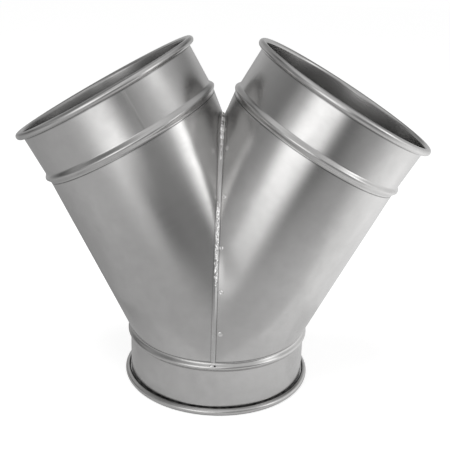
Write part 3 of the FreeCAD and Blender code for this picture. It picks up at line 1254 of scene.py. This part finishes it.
    def build(self) -> None:
        """Make every weld."""
        material = self.finish.dress("weld_metal")
        self.seam_weld("crotch_weld", (self.crotch,), self.glossy.dress("crotch_metal"))
        self.seam_weld("seam_weld", (self.upper, self.middle), material)
        self.spots(self.dull.dress("spot_metal"))
        self.feet("solder_drops", self.solder, self.solder_aside, material)
        # Painted shade of a notch, as a dark drop on the bead.
        self.feet("notch_shade_drops", self.notch_shade_size, self.notch_shade_aside, self.notch_shade_finish.dress("notch_shade_metal"))


@dataclass(frozen=True)
class TentRing:
    """A level of the light tent: its reach, its height, and its glow at some azimuths."""

    reach: float
    height: float
    glow: tuple[Span, ...]

    def glow_at(self, azimuth: float) -> float:
        """Glow at an azimuth, read between the stops on either side of it.

        Args:
            azimuth: angle round the part, in degrees.

        Returns:
            Strength of the glow.
        """
        first = self.glow[0][0]
        turned = first + (azimuth - first) % 360
        stops = [*self.glow, (first + 360, self.glow[0][1])]
        start, end = next(pair for pair in zip(stops, stops[1:]) if turned <= pair[1][0])
        return start[1] + (end[1] - start[1]) * (turned - start[0]) / (end[0] - start[0])


@dataclass(frozen=True)
class LightTent:
    """Cloth round the part, out of the camera's sight, with soft panels for the metal to reflect.

    Azimuth 0 is towards the camera, and grows towards +X.
    """

    rings: tuple[TentRing, ...] = (
        # The three lowest rings lie on the floor round the base lip and glow dimly: painted shade of the
        # floor beside the lip, as the metal sees it.
        TentRing(0.1034, 0.00003, ((0, 0.02),)),
        TentRing(0.1118, 0.0005, ((0, 0.03),)),
        TentRing(0.1140, 0.0007, ((0, 0.25),)),
        TentRing(0.122, 0.002, ((-165, 0.40), (-75, 0.25), (-25, 0.55), (75, 0.70))),
        TentRing(0.2, 0.002, ((-165, 0.30), (-75, 0.35), (-25, 0.70), (75, 0.90))),
        TentRing(0.5, 0.002, (
            (-165, 0.20), (-60, 0.60), (-25, 0.50), (45, 0.50), (75, 1.05), (105, 1.25),
        )),
        TentRing(1.15, 0.02, (
            (-150, 0.55), (-60, 0.15), (-16, 1.15), (4, 0.0), (48, 0.35), (90, 1.05),
        )),
        TentRing(1.15, 0.25, (
            (-150, 0.35), (-100, 0.05), (-44, 0.80), (-30, 1.65), (-4, 1.75), (14, 0.35), (55, 0.10),
            (70, 1.20), (104, 1.00), (140, 0.60),
        )),
        TentRing(1.15, 0.5, (
            (-150, 0.55), (-44, 0.25), (-30, 1.50), (-16, 1.75), (-4, 0.60), (16, 0.20), (50, 0.65),
            (70, 2.65), (84, 0.65), (140, 0.60),
        )),
        TentRing(1.15, 0.7, (
            (-150, 0.50), (-60, 0.22), (-30, 1.05), (-16, 1.60), (8, 1.60), (24, 0.45), (50, 0.65),
            (70, 1.70), (84, 0.70), (140, 0.33),
        )),
        TentRing(1.15, 0.95, ((-150, 0.45), (-60, 0.20), (-10, 0.60), (75, 0.75), (140, 0.05))),
        TentRing(0.6, 1.35, ((-110, 0.05), (-20, 0.85), (70, 0.55), (160, 0.55))),
        TentRing(0.02, 1.4, ((0, 0.70),)),
    )
    columns: int = 120

    def build(self) -> bpy.types.Object:
        """Bridge the rings and let each glow as its stops say.

        Returns:
            The tent.
        """
        bm = bmesh.new()
        layer = bm.verts.layers.float.new("glow")
        loops = []
        for ring in self.rings:
            place = Matrix.Translation((0, 0, ring.height))
            circle = bmesh.ops.create_circle(
                bm, segments=self.columns, radius=ring.reach, matrix=place,
            )
            made = circle["verts"]
            for vert in made:
                vert[layer] = ring.glow_at(math.degrees(math.atan2(vert.co.x, -vert.co.y)))
            loops.append(list({edge for vert in made for edge in vert.link_edges}))
        for below, above in zip(loops, loops[1:]):
            bmesh.ops.bridge_loops(bm, edges=below + above)
        bench = NodeBench("tent_glow")
        strength = bench.add("Attribute", attribute_name="glow").outputs["Fac"]
        glow = {"Color": (1, 1, 1, 1), "Strength": strength}
        material = bench.finish(bench.add("Emission", glow).outputs[0])
        tent = make_stage("light_tent", bm, material)
        tent.visible_camera = False
        tent.visible_diffuse = False
        tent.visible_shadow = False
        return tent


@dataclass
class Studio:
    """Pale floor, white surroundings, soft lamp, light tent and the camera."""

    yaw: float = 1.529
    pitch: float = 19.917
    roll: float = 1.883
    distance: float = 0.8746
    target: Triple = (0.00522, 0, 0.17942)
    focal_pixels: float = 783.58
    sensor: float = 36.0
    floor_half: float = 6.0
    floor_glow: float = 0.80
    floor_shade: Colour = (0.55, 0.55, 0.55, 1)
    lamp_power: float = 14.0
    lamp_size: float = 1.0
    lamp_place: Triple = (-0.15, -0.25, 1.6)
    ambient: float = 0.35

    def floor(self) -> bpy.types.Object:
        """Pale floor that reads as white to the camera and in the metal, and keeps the shadow.

        Returns:
            The floor.
        """
        bm = bmesh.new()
        bmesh.ops.create_grid(bm, x_segments=1, y_segments=1, size=self.floor_half)
        bench = NodeBench("floor_paper")
        rays = bench.add("LightPath").outputs
        seen = bench.calc("MAXIMUM", rays["Is Camera Ray"], rays["Is Glossy Ray"])
        shown = bench.calc("MAXIMUM", seen, rays["Is Transmission Ray"])
        glow = bench.add("Emission", {"Strength": bench.calc("MULTIPLY", shown, self.floor_glow)})
        paper = bench.add("BsdfDiffuse", {"Color": self.floor_shade})
        both = bench.add("AddShader", {0: glow.outputs[0], 1: paper.outputs[0]})
        return make_stage("floor", bm, bench.finish(both.outputs[0]))

    def surroundings(self) -> None:
        """White world for the camera and the metal, dim for everything else."""
        world = bpy.data.worlds.new("studio_white")
        world.use_nodes = True
        nodes = world.node_tree.nodes
        links = world.node_tree.links
        rays = nodes.new("ShaderNodeLightPath")
        shown = rays.outputs["Is Camera Ray"]
        for name in ("Is Glossy Ray", "Is Transmission Ray"):
            either = nodes.new("ShaderNodeMath")
            either.operation = "MAXIMUM"
            links.new(shown, either.inputs[0])
            links.new(rays.outputs[name], either.inputs[1])
            shown = either.outputs[0]
        level = nodes.new("ShaderNodeMapRange")
        level.inputs["To Min"].default_value = self.ambient
        links.new(shown, level.inputs["Value"])
        white = nodes["Background"]
        white.inputs["Color"].default_value = (1, 1, 1, 1)
        links.new(level.outputs[0], white.inputs["Strength"])
        bpy.context.scene.world = world

    def lamp(self) -> bpy.types.Object:
        """Soft overhead lamp, which makes the shadow on the floor.

        Returns:
            The lamp.
        """
        light = bpy.data.lights.new("overhead", "AREA")
        light.shape = "DISK"
        light.size = self.lamp_size
        light.energy = self.lamp_power
        lamp = bpy.data.objects.new("overhead", light)
        lamp.location = self.lamp_place
        lamp.rotation_euler = Vector(lamp.location).to_track_quat("Z", "Y").to_euler()
        lamp.visible_camera = False
        lamp.visible_glossy = False
        bpy.context.scene.collection.objects.link(lamp)
        return lamp

    def camera(self) -> bpy.types.Object:
        """Camera at the photograph's place, turn, tilt and roll.

        Returns:
            The camera.
        """
        yaw, pitch, roll = (math.radians(angle) for angle in (self.yaw, self.pitch, self.roll))
        level = math.cos(pitch)
        back = Vector((math.sin(yaw) * level, -math.cos(yaw) * level, math.sin(pitch)))
        right = UP.cross(back).normalized()
        upright = Matrix((right, back.cross(right), back)).transposed().to_4x4()
        data = bpy.data.cameras.new("camera")
        data.sensor_fit = "HORIZONTAL"
        data.sensor_width = self.sensor
        data.lens = self.focal_pixels * self.sensor / IMAGE_SIZE
        camera = bpy.data.objects.new("camera", data)
        place = Matrix.Translation(Vector(self.target) + back * self.distance)
        camera.matrix_world = place @ upright @ Matrix.Rotation(roll, 4, "Z")
        bpy.context.scene.collection.objects.link(camera)
        bpy.context.scene.camera = camera
        return camera

    def build(self) -> None:
        """Set up everything round the part."""
        bpy.context.scene.view_settings.view_transform = "Standard"
        self.floor()
        self.surroundings()
        self.lamp()
        LightTent().build()
        self.camera()


def main() -> None:
    """Build the fitting, its welds and the studio, in that order."""
    logging.basicConfig(level=logging.INFO, format="%(name)s %(message)s")
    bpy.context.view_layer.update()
    sizes = DuctSizes(bore=mount("base_bore")["dims"]["r_mm"] * MM)
    base = Mouth.from_record("base_lip")
    left, right = Mouth.from_record("left_lip"), Mouth.from_record("right_lip")
    sheet = GalvanisedFinish()
    # The crevice and bore values below set how dark the painted shade is.
    Collar(
        "base_collar", base, sizes, sheet,
        joint_turn=75, crevice_shade=1.0, crevice_spread=1.9 * MM, bore_shade=0.2,
    ).build()
    Collar(
        "left_collar", left, sizes, sheet,
        joint_turn=248.5, crevice_shade=0.7, crevice_spread=0.9 * MM, bore_shade=0.3,
    ).build()
    Collar(
        "right_collar", right, sizes, sheet,
        joint_turn=60, crevice_shade=0.7, crevice_spread=0.9 * MM, bore_shade=0.12,
    ).build()
    fork = Fork(sizes, base, {Side.LEFT: left, Side.RIGHT: right})
    LeftLeg(fork, sheet).build()
    # The hem's own sheet, made paler than the leg: painted sheen.
    sheen_fold = GalvanisedFinish(
        pale=(0.80, 0.795, 0.79, 1), dull=(0.72, 0.715, 0.71, 1),
        smooth_roughness=0.24, dull_roughness=0.28,
    )
    path = SeamPath(fork)
    RightLeg(fork, path, sheet, sheen_fold).build()
    # Near black: painted shade of a notch in the base collar's bead.
    notch_shade_finish = WeldFinish(
        bright=(0.10, 0.10, 0.10, 1), scorched=(0.04, 0.04, 0.04, 1), smooth_roughness=0.4,
    )
    glossy = WeldFinish(scorched=(0.20, 0.195, 0.19, 1), smooth_roughness=0.10)
    dull = WeldFinish(bright=(0.78, 0.775, 0.77, 1), smooth_roughness=0.22)
    Welds(path, WeldFinish(), glossy, dull, notch_shade_finish).build()
    Studio().build()


if __name__ == "__main__":
    main()
